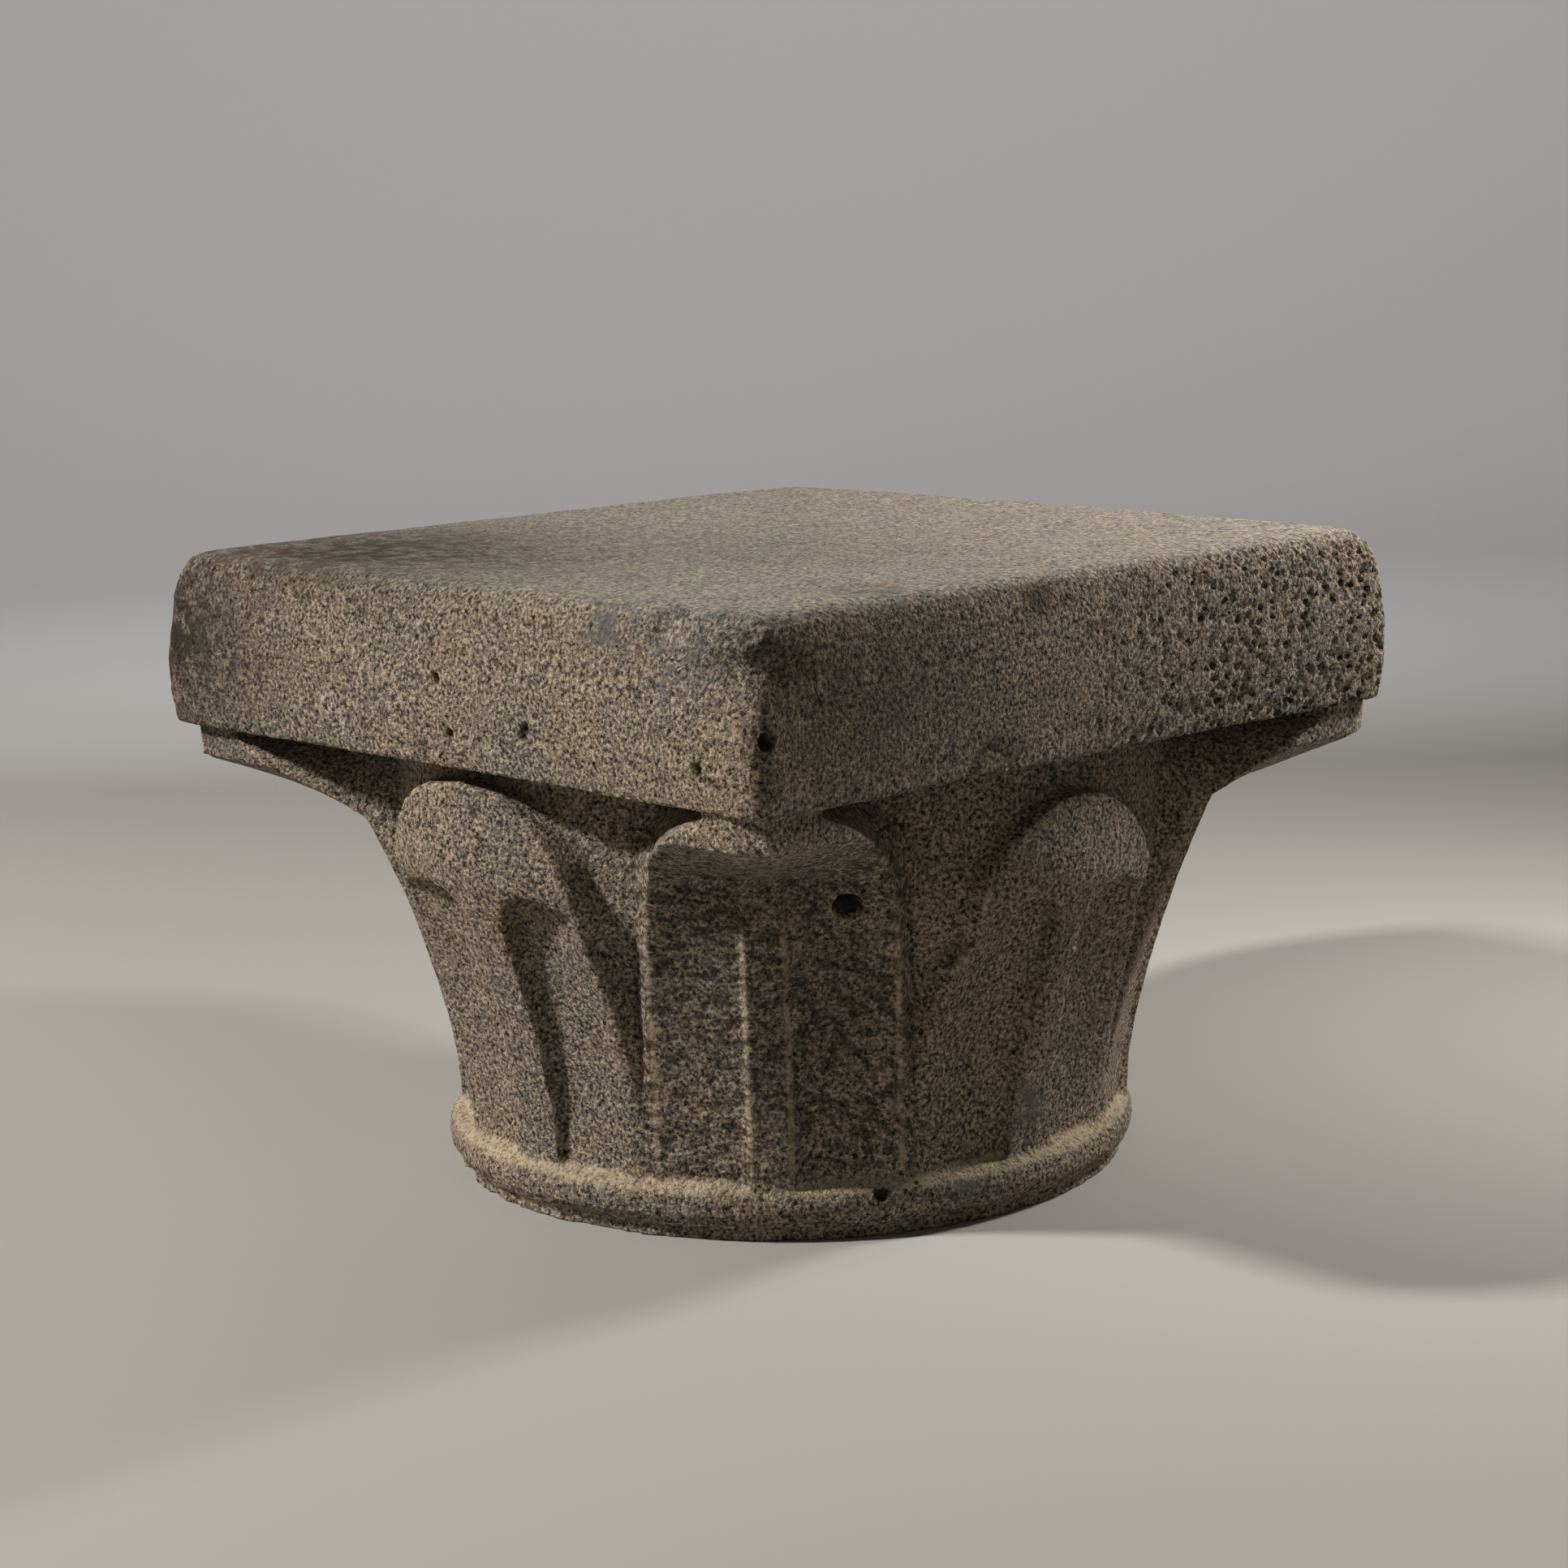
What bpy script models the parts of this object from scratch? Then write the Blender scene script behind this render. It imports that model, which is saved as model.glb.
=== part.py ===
"""A basalt capital carved from one block: a square abacus over a round bell with eight broad leaves.

Metres, +Z up. The origin is the centre of the round bed that the capital stands on, and the abacus faces
look along X and Y.
"""

import math

import bmesh
import bpy

# Abacus
HEIGHT = 0.401
ABACUS_SIDE = 0.56
ABACUS_HEIGHT = 0.113
ABACUS_CORNER_RADIUS = 0.011
ABACUS_BULGE = 0.003
LONG_CORNER_OUT = 0.005
LONG_CORNER_REACH = 0.22
ARRIS_DEPTH = 0.017
ARRIS_HEIGHT = 0.024
UNDER_CHAMFER = 0.0015

# Wear on the top edge, by corner: the azimuth, how far it eats in, how far it eats down, and its reach
CORNER_WEAR = (
    (-45, 0.006, 0.006, 0.06),
    (45, 0.004, 0.010, 0.07),
    (135, 0.006, 0.008, 0.07),
    (-135, 0.000, 0.022, 0.08),
)
HOLLOW_DEPTH = 0.011
HOLLOW_REACH = 0.032
HOLLOW_DROP = 0.033
HOLLOW_HEIGHT = 0.015

# Bed and ring at the foot
BED_RADIUS = 0.2175
BED_HEIGHT = 0.006
BED_CHAMFER = 0.0015
GROOVE_DEPTH = 0.003
GROOVE_HEIGHT = 0.002
RING_RADIUS = 0.2262
RING_TOP = 0.035
RING_ROUND = 0.009

# Bell: the turned surface that the leaves share, and the sunk ground between them
FOOT_RADIUS = 0.2175
BELL_FLARE = 0.059
FLARE_POWER = 1.6
GROUND_DEPTH_FOOT = 0.009
GROUND_DEPTH_TOP = 0.015

# Corner leaves: the azimuth of each, and how much flatter than the bell it was cut
CORNER_LEAVES = ((-45, 0.0), (45, 0.0), (135, 0.002), (-135, 0.005))
CORNER_LEAF_HALF = 0.0730
CORNER_FOOT_HALF = 0.0765
KINK_DROP = 0.054
LIP_THICKNESS = 0.021
LIP_SETBACK = 0.008
CORNER_SHOULDER = 0.063
SHOULDER_POWER = 2.2
TIP_SINK = 0.003
CORNER_RIB_HALF_FOOT = 0.013
CORNER_RIB_HALF_TOP = 0.011
CORNER_RIB_SHIFT = -0.0045
CORNER_RIB_RISE = 0.005
RIB_SLOPE = 0.004
PANEL_HOLLOW = 0.003

# Face leaves, which the carver made unlike: a narrow one, two plain ones and a broad one. The tip gap and the
# arch drop are measured down from the abacus, and the rib shift is how far the rib leans at its top
NARROW_TIP_GAP = 0.021
NARROW_HOOD_HALF = 0.0760
NARROW_HOOD_RADIUS = 0.265
NARROW_ARCH_DROP = 0.083
NARROW_RIB_HALF = 0.010
NARROW_RIB_SHIFT = 0.002
PLAIN_TIP_GAP = 0.014
PLAIN_HOOD_HALF = 0.0815
PLAIN_HOOD_RADIUS = 0.267
PLAIN_ARCH_DROP = 0.080
PLAIN_RIB_HALF = 0.012
PLAIN_RIB_SHIFT = 0.003
BROAD_TIP_GAP = 0.007
BROAD_HOOD_HALF = 0.0870
BROAD_HOOD_RADIUS = 0.270
BROAD_ARCH_DROP = 0.076
BROAD_RIB_HALF = 0.015
BROAD_RIB_SHIFT = 0.008

# The shape of a face leaf: where its hood spreads and its notch stands, and how deep its flutes are sunk
HOOD_SPREAD_DROP = 0.088
HOOD_POWER = 1.9
HOOD_BEND = 0.006
NOTCH_DROP = 0.104
NOTCH_INSET = 0.005
NOTCH_TO_FULL = 0.034
LEAF_HALF = 0.0865
LEAF_FOOT_HALF = 0.0830
LEAF_DRAFT = 0.30
DRAFT_FROM = 0.03
ARCH_RISE = 0.020
ARCH_APEX_SHARE = 0.38
FLUTE_DEPTH_ARCH = 0.017
FLUTE_DEPTH_FOOT = 0.006
FLUTE_WALL = 0.002
FLUTE_MARGIN = 0.003
FLUTE_FULLNESS = 2.5
UNDERCUT = 0.15
LEDGE = 0.0015
FACE_RIB_HALF_FOOT = 0.021

# How finely the curves are cut, and how far pieces of the one solid run into each other
BELL_STEPS = 80
RING_ROWS = 6
RING_TURN = 66
GROUND_ROWS = 9
BELL_ROWS = 7
HOOD_ROWS = 8
ARRIS_STEPS = 4
CORNER_STEPS = 3
SIDE_ROWS = (0.0, 0.3, 0.6, 0.8, 1.0)
SIDE_SHARES = (0.0, 0.03, 0.07, 0.12, 0.20, 0.32, 0.50, 0.68, 0.80, 0.88, 0.93, 0.97, 1.0)
LEAF_INSIDE = 0.18
OVERLAP = 0.010

UNDERSIDE = HEIGHT - ABACUS_HEIGHT
HALF_SIDE = ABACUS_SIDE / 2
NARROW_LEAF = (NARROW_TIP_GAP, NARROW_HOOD_HALF, NARROW_HOOD_RADIUS, NARROW_ARCH_DROP, NARROW_RIB_HALF,
               NARROW_RIB_SHIFT)
PLAIN_LEAF = (PLAIN_TIP_GAP, PLAIN_HOOD_HALF, PLAIN_HOOD_RADIUS, PLAIN_ARCH_DROP, PLAIN_RIB_HALF,
              PLAIN_RIB_SHIFT)
BROAD_LEAF = (BROAD_TIP_GAP, BROAD_HOOD_HALF, BROAD_HOOD_RADIUS, BROAD_ARCH_DROP, BROAD_RIB_HALF,
              BROAD_RIB_SHIFT)

# Each face leaf's azimuth, the power that shapes its tip (higher is more pointed) and its sizes
FACE_LEAVES = (
    (0, 0.62, NARROW_LEAF),
    (90, 0.55, PLAIN_LEAF),
    (180, 0.55, PLAIN_LEAF),
    (-90, 0.45, BROAD_LEAF),
)
KINK_HEIGHT = UNDERSIDE - KINK_DROP


def mix(low, high, share):
    return low + (high - low) * share


def clear_scene():
    for thing in list(bpy.data.objects):
        bpy.data.objects.remove(thing, do_unlink=True)


def object_from(bm, name):
    bmesh.ops.remove_doubles(bm, verts=bm.verts, dist=1e-6)
    bmesh.ops.triangulate(bm, faces=bm.faces)
    bmesh.ops.recalc_face_normals(bm, faces=bm.faces)
    mesh = bpy.data.meshes.new(name)
    bm.to_mesh(mesh)
    bm.free()
    thing = bpy.data.objects.new(name, mesh)
    bpy.context.collection.objects.link(thing)
    return thing


def loft(name, loops):
    """A closed body through a stack of closed loops that all have the same number of points."""
    bm = bmesh.new()
    rings = [[bm.verts.new(point) for point in loop] for loop in loops]
    for lower, upper in zip(rings, rings[1:]):
        for i in range(len(lower)):
            j = (i + 1) % len(lower)
            bm.faces.new((lower[i], lower[j], upper[j], upper[i]))
    bm.faces.new(rings[0])
    bm.faces.new(rings[-1])
    return object_from(bm, name)


def helper(thing):
    thing.hide_render = True
    thing.display_type = "WIRE"
    return thing


def boolean(thing, other, operation):
    modifier = thing.modifiers.new(other.name, "BOOLEAN")
    modifier.operation = operation
    modifier.solver = "EXACT"
    modifier.object = other


def turned_point(azimuth, radius, depth, across, height):
    """A point so deep behind a turned surface, and so far from the azimuth along the surface's arc."""
    angle = math.radians(azimuth) + across / radius
    return ((radius - depth) * math.cos(angle), (radius - depth) * math.sin(angle), height)


def flat_point(azimuth, out, across, height):
    """A point in a frame turned to the azimuth: so far out, and so far across it."""
    angle = math.radians(azimuth)
    return (
        out * math.cos(angle) - across * math.sin(angle),
        out * math.sin(angle) + across * math.cos(angle),
        height,
    )


def climb_of(height):
    """The share of the way up from the ring to the abacus."""
    return min(1.0, max(0.0, height - RING_TOP) / (UNDERSIDE - RING_TOP))


def bell_radius(height):
    """The flaring profile of the leaves, from the ring to the kink under the corner leaves and beyond."""
    climb = max(0.0, height - RING_TOP) / (KINK_HEIGHT - RING_TOP)
    return FOOT_RADIUS + BELL_FLARE * climb**FLARE_POWER


def face_radius(height, hood_radius):
    """The bell's profile, bent upright where it reaches the hood's radius."""
    over = bell_radius(height) - hood_radius
    return hood_radius + 0.5 * (over - math.sqrt(over * over + HOOD_BEND * HOOD_BEND))


def ground_radius(height):
    depth = mix(GROUND_DEPTH_FOOT, GROUND_DEPTH_TOP, climb_of(height))
    return face_radius(height, NARROW_HOOD_RADIUS) - depth


def core():
    """Bed, groove, ring and the bell's ground, turned in one go and run up into the abacus."""
    groove_top = BED_HEIGHT + GROOVE_HEIGHT
    groove_radius = BED_RADIUS - GROOVE_DEPTH
    profile = [
        (0.0, 0.0),
        (BED_RADIUS - BED_CHAMFER, 0.0),
        (BED_RADIUS, BED_CHAMFER),
        (BED_RADIUS, BED_HEIGHT),
        (groove_radius, BED_HEIGHT + GROOVE_HEIGHT / 2),
        (mix(groove_radius, RING_RADIUS, 0.55), groove_top),
    ]
    ring_middle = (groove_top + RING_TOP) / 2
    for step in range(1, RING_ROWS):
        angle = math.radians(mix(-RING_TURN, RING_TURN, step / RING_ROWS))
        radius = RING_RADIUS - RING_ROUND * (1 - math.cos(angle))
        profile.append((radius, ring_middle + (RING_TOP - ring_middle) * math.sin(angle)))
    profile.append((mix(FOOT_RADIUS, RING_RADIUS, 0.15), RING_TOP))
    top = UNDERSIDE + OVERLAP
    for row in range(GROUND_ROWS + 1):
        height = mix(RING_TOP, top, row / GROUND_ROWS)
        profile.append((ground_radius(height), height))
    profile.append((0.0, top))
    bm = bmesh.new()
    verts = [bm.verts.new((radius, 0.0, height)) for radius, height in profile]
    edges = [bm.edges.new(pair) for pair in zip(verts, verts[1:])]
    bmesh.ops.spin(bm, geom=verts + edges, cent=(0, 0, 0), axis=(0, 0, 1), angle=math.tau,
                   steps=BELL_STEPS, use_merge=True)
    return object_from(bm, "capital")


def abacus_columns():
    """Where the abacus's profile is cut: a side and a share along it, with a turn at a corner."""
    columns = []
    for azimuth in (0, 90, 180, 270):
        columns += [(azimuth, share, 0.0) for share in SIDE_SHARES]
        columns += [(azimuth, 1.0, math.radians(90 * step / CORNER_STEPS)) for step in range(1, CORNER_STEPS)]
    return columns


def abacus_point(column, push, height):
    """A point of the rounded square, its outline drawn in by the push and let out at the long corner."""
    azimuth, share, turn = column
    half = HALF_SIDE - push
    straight = half - ABACUS_CORNER_RADIUS
    out = straight + ABACUS_CORNER_RADIUS * math.cos(turn)
    across = mix(-straight, straight, share) + ABACUS_CORNER_RADIUS * math.sin(turn)
    x, y, _ = flat_point(azimuth, out, across, height)
    let_out = math.exp(-(math.hypot(x + HALF_SIDE, y + HALF_SIDE) / LONG_CORNER_REACH) ** 2)
    stretch = 1 + LONG_CORNER_OUT / HALF_SIDE * let_out
    return (x * stretch, y * stretch, height)


def corner_wear(column):
    """How far the top edge is worn in and down near each corner."""
    x, y, _ = abacus_point(column, 0.0, HEIGHT)
    inward = downward = 0.0
    for azimuth, eaten_in, eaten_down, reach in CORNER_WEAR:
        corner_x, corner_y, _ = flat_point(azimuth, HALF_SIDE * math.sqrt(2), 0, HEIGHT)
        share = math.exp(-((math.hypot(x - corner_x, y - corner_y) / reach) ** 2))
        inward += eaten_in * share
        downward += eaten_down * share
    return inward, downward


def hollow(column, height):
    """The broken hollow in the upright arris of the front corner."""
    x, y, _ = abacus_point(column, 0.0, height)
    away = math.hypot(x - HALF_SIDE, y + HALF_SIDE) / HOLLOW_REACH
    below = (HEIGHT - HOLLOW_DROP - height) / HOLLOW_HEIGHT
    return HOLLOW_DEPTH * math.exp(-away * away - below * below)


def abacus():
    """The square slab: upright sides that bulge a little, and a rounded top edge worn at the corners."""
    columns = abacus_columns()
    worn = [corner_wear(column) for column in columns]
    loops = [[abacus_point(column, ABACUS_BULGE + UNDER_CHAMFER, UNDERSIDE) for column in columns]]
    for share in SIDE_ROWS:
        belly = ABACUS_BULGE * (1 - math.sin(math.pi * share))
        loop = []
        for column, (_, down) in zip(columns, worn):
            height = mix(UNDERSIDE + UNDER_CHAMFER, HEIGHT - ARRIS_HEIGHT - down, share)
            loop.append(abacus_point(column, belly + hollow(column, height), height))
        loops.append(loop)
    for step in range(1, ARRIS_STEPS + 1):
        turn = math.radians(90 * step / ARRIS_STEPS)
        loop = []
        for column, (inward, down) in zip(columns, worn):
            height = HEIGHT - (ARRIS_HEIGHT + down) * (1 - math.sin(turn))
            push = ABACUS_BULGE + (ARRIS_DEPTH + inward) * (1 - math.cos(turn))
            loop.append(abacus_point(column, push + hollow(column, height), height))
        loops.append(loop)
    return helper(loft("abacus", loops))


def tongue_outline(half_at, heights, top):
    """A leaf from the front, up its right edge, over the tip, down its left edge: (across, height)."""
    right = [(half_at(height), height) for height in heights]
    left = [(-half, height) for half, height in reversed(right)]
    return right + [(0.0, top)] + left


def outline_cutter(name, azimuth, outline, near, far, radius_at):
    """The outline drawn out along the azimuth, growing wider from the leaf's edge in towards the ground."""
    loops = []
    for place in ("near", "edge", "far"):
        loop = []
        for across, height in outline:
            radius = radius_at(height)
            edge_out = math.sqrt(radius * radius - across * across)
            out = {"near": near, "edge": edge_out, "far": far}[place]
            widen = LEAF_DRAFT * max(0.0, edge_out - out) * across / max(abs(across), DRAFT_FROM)
            loop.append(flat_point(azimuth, out, across + widen, height))
        loops.append(loop)
    return helper(loft(name, loops))


def corner_leaf_half(height):
    """Half the width of a corner leaf: nearly even, then closing in a rounded tip under the abacus."""
    start = UNDERSIDE - CORNER_SHOULDER
    if height <= start:
        return mix(CORNER_FOOT_HALF, CORNER_LEAF_HALF, (height - RING_TOP) / (start - RING_TOP))
    rise = (height - start) / (CORNER_SHOULDER + TIP_SINK)
    return CORNER_LEAF_HALF * (1 - rise**SHOULDER_POWER) ** (1 / SHOULDER_POWER)


def corner_relief(across, rib_half):
    """How far the surface stands behind the leaf's edges: a proud rib between two hollow panels."""
    from_rib = abs(across - CORNER_RIB_SHIFT) - rib_half
    if from_rib < RIB_SLOPE:
        return mix(-CORNER_RIB_RISE, 0, max(0.0, from_rib) / RIB_SLOPE)
    share = min(1.0, (from_rib - RIB_SLOPE) / (CORNER_LEAF_HALF - rib_half - RIB_SLOPE))
    return PANEL_HOLLOW * math.sin(math.pi * share)


def corner_columns(rib_half):
    """Where the columns of points stand across a corner leaf, from left to right."""
    edge = CORNER_FOOT_HALF + OVERLAP
    columns = []
    for side in (-1, 1):
        foot = rib_half + RIB_SLOPE
        panel_edge = CORNER_LEAF_HALF - side * CORNER_RIB_SHIFT
        halves = [rib_half, foot] + [mix(foot, panel_edge, share) for share in (0.25, 0.5, 0.75, 1.0)]
        columns += [CORNER_RIB_SHIFT + side * half for half in halves] + [side * edge]
    return sorted(columns)


def corner_leaf(azimuth, flatter):
    """A broad strip with a rib, which turns out under the abacus corner and ends in a square lip."""
    lip_out = (HALF_SIDE - LIP_SETBACK) * math.sqrt(2)
    lip_low = UNDERSIDE - LIP_THICKNESS
    rows = [(mix(RING_TOP - OVERLAP / 2, KINK_HEIGHT, row / BELL_ROWS), 0.0) for row in range(BELL_ROWS + 1)]
    rows += [(mix(KINK_HEIGHT, lip_low, share), share) for share in (0.3, 0.65, 1.0)]
    rows.append((UNDERSIDE + OVERLAP, 1.0))
    loops = []
    for height, turned_out in rows:
        rib_half = mix(CORNER_RIB_HALF_FOOT, CORNER_RIB_HALF_TOP, climb_of(height))
        radius = bell_radius(min(height, KINK_HEIGHT))
        columns = corner_columns(rib_half)
        loop = []
        for across in columns:
            on_bell = math.sqrt(radius * radius - across * across)
            on_lip = lip_out - abs(across)
            relief = (flatter + corner_relief(across, rib_half)) * (1 - turned_out)
            loop.append(flat_point(azimuth, mix(on_bell, on_lip, turned_out) - relief, across, height))
        loop.append(flat_point(azimuth, LEAF_INSIDE, columns[-1], height))
        loop.append(flat_point(azimuth, LEAF_INSIDE, columns[0], height))
        loops.append(loop)
    leaf = helper(loft(f"corner_leaf_{azimuth}", loops))
    start = UNDERSIDE - CORNER_SHOULDER
    turns = (18, 34, 48, 60, 71, 80)
    heights = [RING_TOP - OVERLAP, start]
    heights += [start + CORNER_SHOULDER * math.sin(math.radians(turn)) for turn in turns]
    outline = tongue_outline(corner_leaf_half, heights, UNDERSIDE + TIP_SINK)
    cutter = outline_cutter(f"corner_outline_{azimuth}", azimuth, outline, LEAF_INSIDE + OVERLAP,
                            lip_out + OVERLAP, lambda height: bell_radius(min(height, KINK_HEIGHT)))
    boolean(leaf, cutter, "INTERSECT")
    return leaf


def face_leaf_half(height, hood_half, tip_power, tip):
    """Half the width of a face leaf: an even foot, a notch under the hood, and the hood's rounded tip."""
    notch = UNDERSIDE - NOTCH_DROP
    full = notch - NOTCH_TO_FULL
    spread = UNDERSIDE - HOOD_SPREAD_DROP
    notch_half = hood_half - NOTCH_INSET
    if height <= full:
        return mix(LEAF_FOOT_HALF, LEAF_HALF, (height - RING_TOP) / (full - RING_TOP))
    if height <= notch:
        share = (height - full) / NOTCH_TO_FULL
        return mix(LEAF_HALF, notch_half, share * share)
    if height <= spread:
        return mix(notch_half, hood_half, (height - notch) / (spread - notch))
    rise = min(1.0, (height - spread) / (tip - spread))
    return hood_half * (1 - rise**HOOD_POWER) ** tip_power


def flute_top(share, arch_top):
    """The arched top of a flute, where share runs from the rib to the leaf's edge."""
    reach = ARCH_APEX_SHARE if share < ARCH_APEX_SHARE else 1 - ARCH_APEX_SHARE
    away = (share - ARCH_APEX_SHARE) / reach
    return arch_top - ARCH_RISE * (1 - math.sqrt(max(0.0, 1 - away * away)))


def face_leaf(azimuth, tip_power, sizes):
    """A tongue with a smooth hood, and below it two sunk flutes with arched tops beside a broad rib."""
    tip_gap, hood_half, hood_radius, arch_drop, rib_half, rib_shift = sizes
    tip = UNDERSIDE - tip_gap
    arch_top = UNDERSIDE - arch_drop
    foot = RING_TOP - OVERLAP / 2
    top = UNDERSIDE + OVERLAP
    body_edge = LEAF_HALF + 2 * OVERLAP
    shares = (0.0, 0.06, 0.18, 0.38, 0.6, 0.8, 0.93, 1.0)

    def column_points(side, kind, share):
        """One column of the leaf from its foot to its top, as (across, height, depth behind the surface)."""
        fluted = kind == "floor"
        arch = flute_top(share, arch_top) if fluted else arch_top - ARCH_RISE
        points = []
        lip_depth = FLUTE_DEPTH_ARCH * (1 - share**FLUTE_FULLNESS) if fluted else 0.0
        rows = [(mix(foot, arch, row / BELL_ROWS), True) for row in range(BELL_ROWS + 1)]
        lip = arch + LEDGE - UNDERCUT * lip_depth
        rows += [(mix(lip, top, row / HOOD_ROWS), False) for row in range(HOOD_ROWS + 1)]
        for height, below_arch in rows:
            climb = min(1.0, max(0.0, height - RING_TOP) / (arch - RING_TOP))
            rib = mix(FACE_RIB_HALF_FOOT, rib_half, climb)
            half = face_leaf_half(height, hood_half, tip_power, tip) if below_arch else hood_half
            outer = max(half - FLUTE_MARGIN, rib + rib_shift + 2 * FLUTE_WALL)
            middle = rib_shift * climb
            across = {"middle": middle, "rib": middle + side * rib, "body": side * body_edge}.get(kind)
            if fluted:
                across = mix(middle + side * (rib + FLUTE_WALL), side * outer, share)
            depth = 0.0
            if fluted and below_arch:
                depth = mix(FLUTE_DEPTH_FOOT, FLUTE_DEPTH_ARCH, climb) * (1 - share**FLUTE_FULLNESS)
            points.append((across, height, depth))
        return points

    right = [column_points(1, "rib", 0)] + [column_points(1, "floor", share) for share in shares]
    right.append(column_points(1, "body", 0))
    left = [column_points(-1, "rib", 0)] + [column_points(-1, "floor", share) for share in shares]
    left.append(column_points(-1, "body", 0))
    columns = left[::-1] + [column_points(1, "middle", 0)] + right
    loops = []
    for row in zip(*columns):
        loop = [
            turned_point(azimuth, face_radius(height, hood_radius), depth, across, height)
            for across, height, depth in row
        ]
        middle = sum(height for _, height, _ in row) / len(row)
        loop.append(flat_point(azimuth, LEAF_INSIDE, body_edge, middle))
        loop.append(flat_point(azimuth, LEAF_INSIDE, -body_edge, middle))
        loops.append(loop)
    leaf = helper(loft(f"face_leaf_{azimuth}", loops))
    notch = UNDERSIDE - NOTCH_DROP
    spread = UNDERSIDE - HOOD_SPREAD_DROP
    heights = [RING_TOP - OVERLAP, notch - NOTCH_TO_FULL, notch - NOTCH_TO_FULL / 2, notch]
    heights += [mix(spread, tip, share) for share in (0.0, 0.25, 0.45, 0.62, 0.76, 0.87, 0.95)]
    outline = tongue_outline(lambda height: face_leaf_half(height, hood_half, tip_power, tip), heights, tip)
    cutter = outline_cutter(f"face_outline_{azimuth}", azimuth, outline, LEAF_INSIDE + OVERLAP,
                            hood_radius + OVERLAP, lambda height: face_radius(height, hood_radius))
    boolean(leaf, cutter, "INTERSECT")
    return leaf


def basalt():
    material = bpy.data.materials.new("weathered_basalt")
    material.use_nodes = True
    shader = material.node_tree.nodes["Principled BSDF"]
    shader.inputs["Base Color"].default_value = (0.105, 0.088, 0.070, 1.0)
    shader.inputs["Roughness"].default_value = 0.92
    shader.inputs["Metallic"].default_value = 0.0
    return material


def main():
    clear_scene()
    capital = core()
    capital.data.materials.append(basalt())
    boolean(capital, abacus(), "UNION")
    for azimuth, flatter in CORNER_LEAVES:
        boolean(capital, corner_leaf(azimuth, flatter), "UNION")
    for leaf in FACE_LEAVES:
        boolean(capital, face_leaf(*leaf), "UNION")
    capital.data.shade_smooth()
    capital.data.set_sharp_from_angle(angle=math.radians(32))


main()
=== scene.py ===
# A basalt capital, carved from one block and long weathered, on a pale studio floor
import math

import bmesh
import bpy
import numpy as np
from mathutils import Matrix, Vector, noise


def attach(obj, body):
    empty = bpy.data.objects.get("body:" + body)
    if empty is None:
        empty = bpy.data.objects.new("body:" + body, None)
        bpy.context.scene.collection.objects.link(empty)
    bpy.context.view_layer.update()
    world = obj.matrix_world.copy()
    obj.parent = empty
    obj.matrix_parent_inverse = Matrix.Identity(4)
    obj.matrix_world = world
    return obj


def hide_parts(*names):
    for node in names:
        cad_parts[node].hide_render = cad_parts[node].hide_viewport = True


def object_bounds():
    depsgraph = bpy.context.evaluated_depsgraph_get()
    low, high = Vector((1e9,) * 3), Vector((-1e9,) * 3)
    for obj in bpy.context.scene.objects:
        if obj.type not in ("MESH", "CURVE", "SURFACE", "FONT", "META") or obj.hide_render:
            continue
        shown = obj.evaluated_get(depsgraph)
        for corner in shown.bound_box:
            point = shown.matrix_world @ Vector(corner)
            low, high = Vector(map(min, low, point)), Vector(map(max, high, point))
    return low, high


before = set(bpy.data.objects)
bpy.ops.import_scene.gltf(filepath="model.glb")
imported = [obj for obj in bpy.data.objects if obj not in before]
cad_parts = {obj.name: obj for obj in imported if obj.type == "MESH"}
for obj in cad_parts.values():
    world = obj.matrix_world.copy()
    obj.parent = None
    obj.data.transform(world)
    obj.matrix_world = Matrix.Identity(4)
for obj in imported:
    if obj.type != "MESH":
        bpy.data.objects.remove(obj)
cadLow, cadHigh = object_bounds()
scene = bpy.context.scene


# Small helpers

def linear(hexColour):
    # an sRGB hex value as the linear colour that shaders take
    channels = [int(hexColour[i:i + 2], 16) / 255 for i in (1, 3, 5)]
    return [c / 12.92 if c <= 0.04045 else ((c + 0.055) / 1.055) ** 2.4 for c in channels] + [1.0]


def addNode(tree, kind, inputs=None, **settings):
    # one node with its settings; an input is a value, or the socket of another node that feeds it
    node = tree.nodes.new(kind)
    for name, value in settings.items():
        setattr(node, name, value)
    for key, value in (inputs or {}).items():
        if isinstance(value, bpy.types.NodeSocket):
            tree.links.new(value, node.inputs[key])
        else:
            node.inputs[key].default_value = value
    return node


def addObject(name, mesh):
    thing = bpy.data.objects.new(name, mesh)
    scene.collection.objects.link(thing)
    return thing


def settle(thing):
    # turns what the modifiers make into the object's own plain mesh
    graph = bpy.context.evaluated_depsgraph_get()
    made = bpy.data.meshes.new_from_object(thing.evaluated_get(graph), depsgraph=graph)
    thing.modifiers.clear()
    thing.data = made


def readPoints(mesh):
    points = np.empty(len(mesh.vertices) * 3)
    mesh.vertices.foreach_get("co", points)
    return points.reshape(-1, 3)


def readNormals(mesh):
    normals = np.empty(len(mesh.vertices) * 3, np.float32)
    mesh.vertex_normals.foreach_get("vector", normals)
    return normals.reshape(-1, 3).astype(float)


def writePoints(mesh, points):
    mesh.vertices.foreach_set("co", points.astype(np.float32).ravel())
    mesh.update()


def writeMap(mesh, name, values):
    # a number for each vertex, which the node trees read by name
    found = mesh.attributes.get(name) or mesh.attributes.new(name, "FLOAT", "POINT")
    found.data.foreach_set("value", np.asarray(values, np.float32))


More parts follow.
